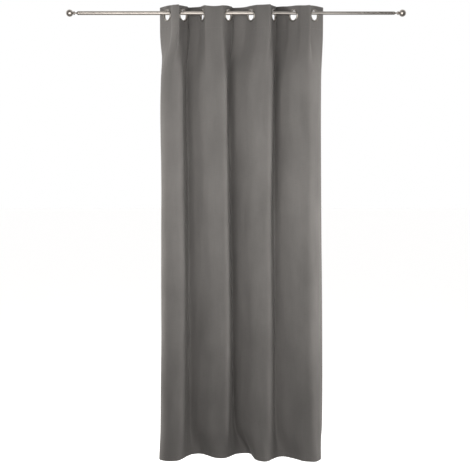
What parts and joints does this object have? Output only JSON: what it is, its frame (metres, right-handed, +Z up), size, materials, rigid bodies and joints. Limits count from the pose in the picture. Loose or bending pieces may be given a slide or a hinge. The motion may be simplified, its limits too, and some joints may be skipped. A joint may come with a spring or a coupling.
{
  "type": "eyelet curtain panel on a telescopic rod",
  "caption": "Full-length eyelet curtain panel hanging in soft folds on a telescopic rod with ball finials; it slides and gathers along the rod.",
  "frame": {"origin": "on the rod's axis, midway between the two wall bracket seats", "axes": "+X along the rod, to the right as seen from the room; +Y towards the window; +Z up"},
  "size_m": [1.77, 0.139, 2.4],
  "materials": {
    "cloth": "matt dense weave",
    "stiffener": "buckram",
    "eyelet_front": "satin nickel plating",
    "eyelet_back": "satin nickel plating",
    "outer_tube": "satin nickel",
    "inner_tube": "satin nickel",
    "finial_ball": "polished nickel",
    "finial_neck": "satin nickel",
    "finial_plug": "moulded"
  },
  "bodies": {
    "rod": {"rod_outer_tube": "outer_tube"},
    "rod_extension": {"rod_inner_tube": "inner_tube"},
    "finial_left": {"finial_ball_left": "finial_ball", "finial_neck_left": "finial_neck", "finial_plug_left": "finial_plug"},
    "finial_right": {"finial_ball_right": "finial_ball", "finial_neck_right": "finial_neck", "finial_plug_right": "finial_plug"},
    "panel": {"curtain_cloth": "cloth", "heading_stiffener": "stiffener", "eyelet_front_1": "eyelet_front", "eyelet_back_1": "eyelet_back"},
    "eyelet_2": {"eyelet_front_2": "eyelet_front", "eyelet_back_2": "eyelet_back"},
    "eyelet_3": {"eyelet_front_3": "eyelet_front", "eyelet_back_3": "eyelet_back"},
    "eyelet_4": {"eyelet_front_4": "eyelet_front", "eyelet_back_4": "eyelet_back"},
    "eyelet_5": {"eyelet_front_5": "eyelet_front", "eyelet_back_5": "eyelet_back"},
    "eyelet_6": {"eyelet_front_6": "eyelet_front", "eyelet_back_6": "eyelet_back"},
    "eyelet_7": {"eyelet_front_7": "eyelet_front", "eyelet_back_7": "eyelet_back"},
    "eyelet_8": {"eyelet_front_8": "eyelet_front", "eyelet_back_8": "eyelet_back"}
  },
  "joints": [
    {"name": "rod_extend", "type": "slide", "parent": "rod", "child": "rod_extension", "axis": [1, 0, 0], "range_m": [-0.03, 0.18]},
    {"name": "finial_left_pull", "type": "slide", "parent": "rod", "child": "finial_left", "axis": [-1, 0, 0], "range_m": [0, 0.05]},
    {"name": "finial_right_pull", "type": "slide", "parent": "rod_extension", "child": "finial_right", "axis": [1, 0, 0], "range_m": [0, 0.05]},
    {"name": "panel_slide", "type": "slide", "parent": "rod", "child": "panel", "axis": [1, 0, 0], "range_m": [-0.34, 0.28]},
    {"name": "gather", "type": "slide", "parent": "panel", "child": "eyelet_8", "axis": [-1, 0, 0], "range_m": [0, 0.3056], "deforming": ["curtain_cloth", "heading_stiffener"]},
    {"name": "eyelet_2_gather", "type": "slide", "parent": "panel", "child": "eyelet_2", "axis": [-1, 0, 0], "range_m": [0, 0.0329]},
    {"name": "eyelet_3_gather", "type": "slide", "parent": "panel", "child": "eyelet_3", "axis": [-1, 0, 0], "range_m": [0, 0.0741]},
    {"name": "eyelet_4_gather", "type": "slide", "parent": "panel", "child": "eyelet_4", "axis": [-1, 0, 0], "range_m": [0, 0.1265]},
    {"name": "eyelet_5_gather", "type": "slide", "parent": "panel", "child": "eyelet_5", "axis": [-1, 0, 0], "range_m": [0, 0.1749]},
    {"name": "eyelet_6_gather", "type": "slide", "parent": "panel", "child": "eyelet_6", "axis": [-1, 0, 0], "range_m": [0, 0.2209]},
    {"name": "eyelet_7_gather", "type": "slide", "parent": "panel", "child": "eyelet_7", "axis": [-1, 0, 0], "range_m": [0, 0.2629]}
  ],
  "couplings": [
    {"joint": "eyelet_2_gather", "follows": "gather", "ratio": 0.10602},
    {"joint": "eyelet_3_gather", "follows": "gather", "ratio": 0.24084},
    {"joint": "eyelet_4_gather", "follows": "gather", "ratio": 0.4123},
    {"joint": "eyelet_5_gather", "follows": "gather", "ratio": 0.57068},
    {"joint": "eyelet_6_gather", "follows": "gather", "ratio": 0.7212},
    {"joint": "eyelet_7_gather", "follows": "gather", "ratio": 0.85864}
  ]
}
